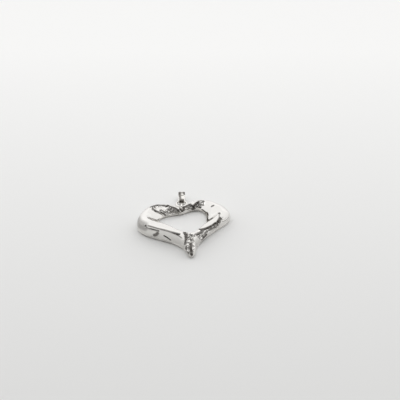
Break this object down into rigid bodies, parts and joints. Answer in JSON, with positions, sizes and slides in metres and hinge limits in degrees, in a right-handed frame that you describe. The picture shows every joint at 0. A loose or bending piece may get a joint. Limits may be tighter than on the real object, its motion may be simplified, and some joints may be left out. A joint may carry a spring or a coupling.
{
  "type": "open heart pendant",
  "caption": "Hollow free-form open heart pendant with a fixed eye at its notch, a round jump ring and a small grooved bail with a round bore for a chain.",
  "frame": {"origin": "middle of the whole pendant's footprint, on its back plane, as it lies face up", "axes": "+Y from the heart towards its bail, +Z out of the heart's front face, +X to the right when the face is seen with the bail at the top"},
  "size_m": [0.0286, 0.0328, 0.0046],
  "materials": {
    "polished_silver": "mirror-polished sterling silver"
  },
  "bodies": {
    "heart": {"heart_front_shell": "polished_silver", "heart_back_shell": "polished_silver", "eyelet": "polished_silver"},
    "jump_ring": {"jump_ring": "polished_silver"},
    "bail": {"bail": "polished_silver"}
  },
  "joints": [
    {"name": "jump_ring_swing", "type": "hinge", "parent": "heart", "child": "jump_ring", "pos_m": [-0.00082, 0.00939, 0.0011], "axis": [1, 0, 0], "range_deg": [-70, 80]},
    {"name": "bail_swing", "type": "hinge", "parent": "jump_ring", "child": "bail", "pos_m": [-0.00082, 0.01259, 0.00102], "axis": [1, 0, 0], "range_deg": [-100, 100]}
  ]
}
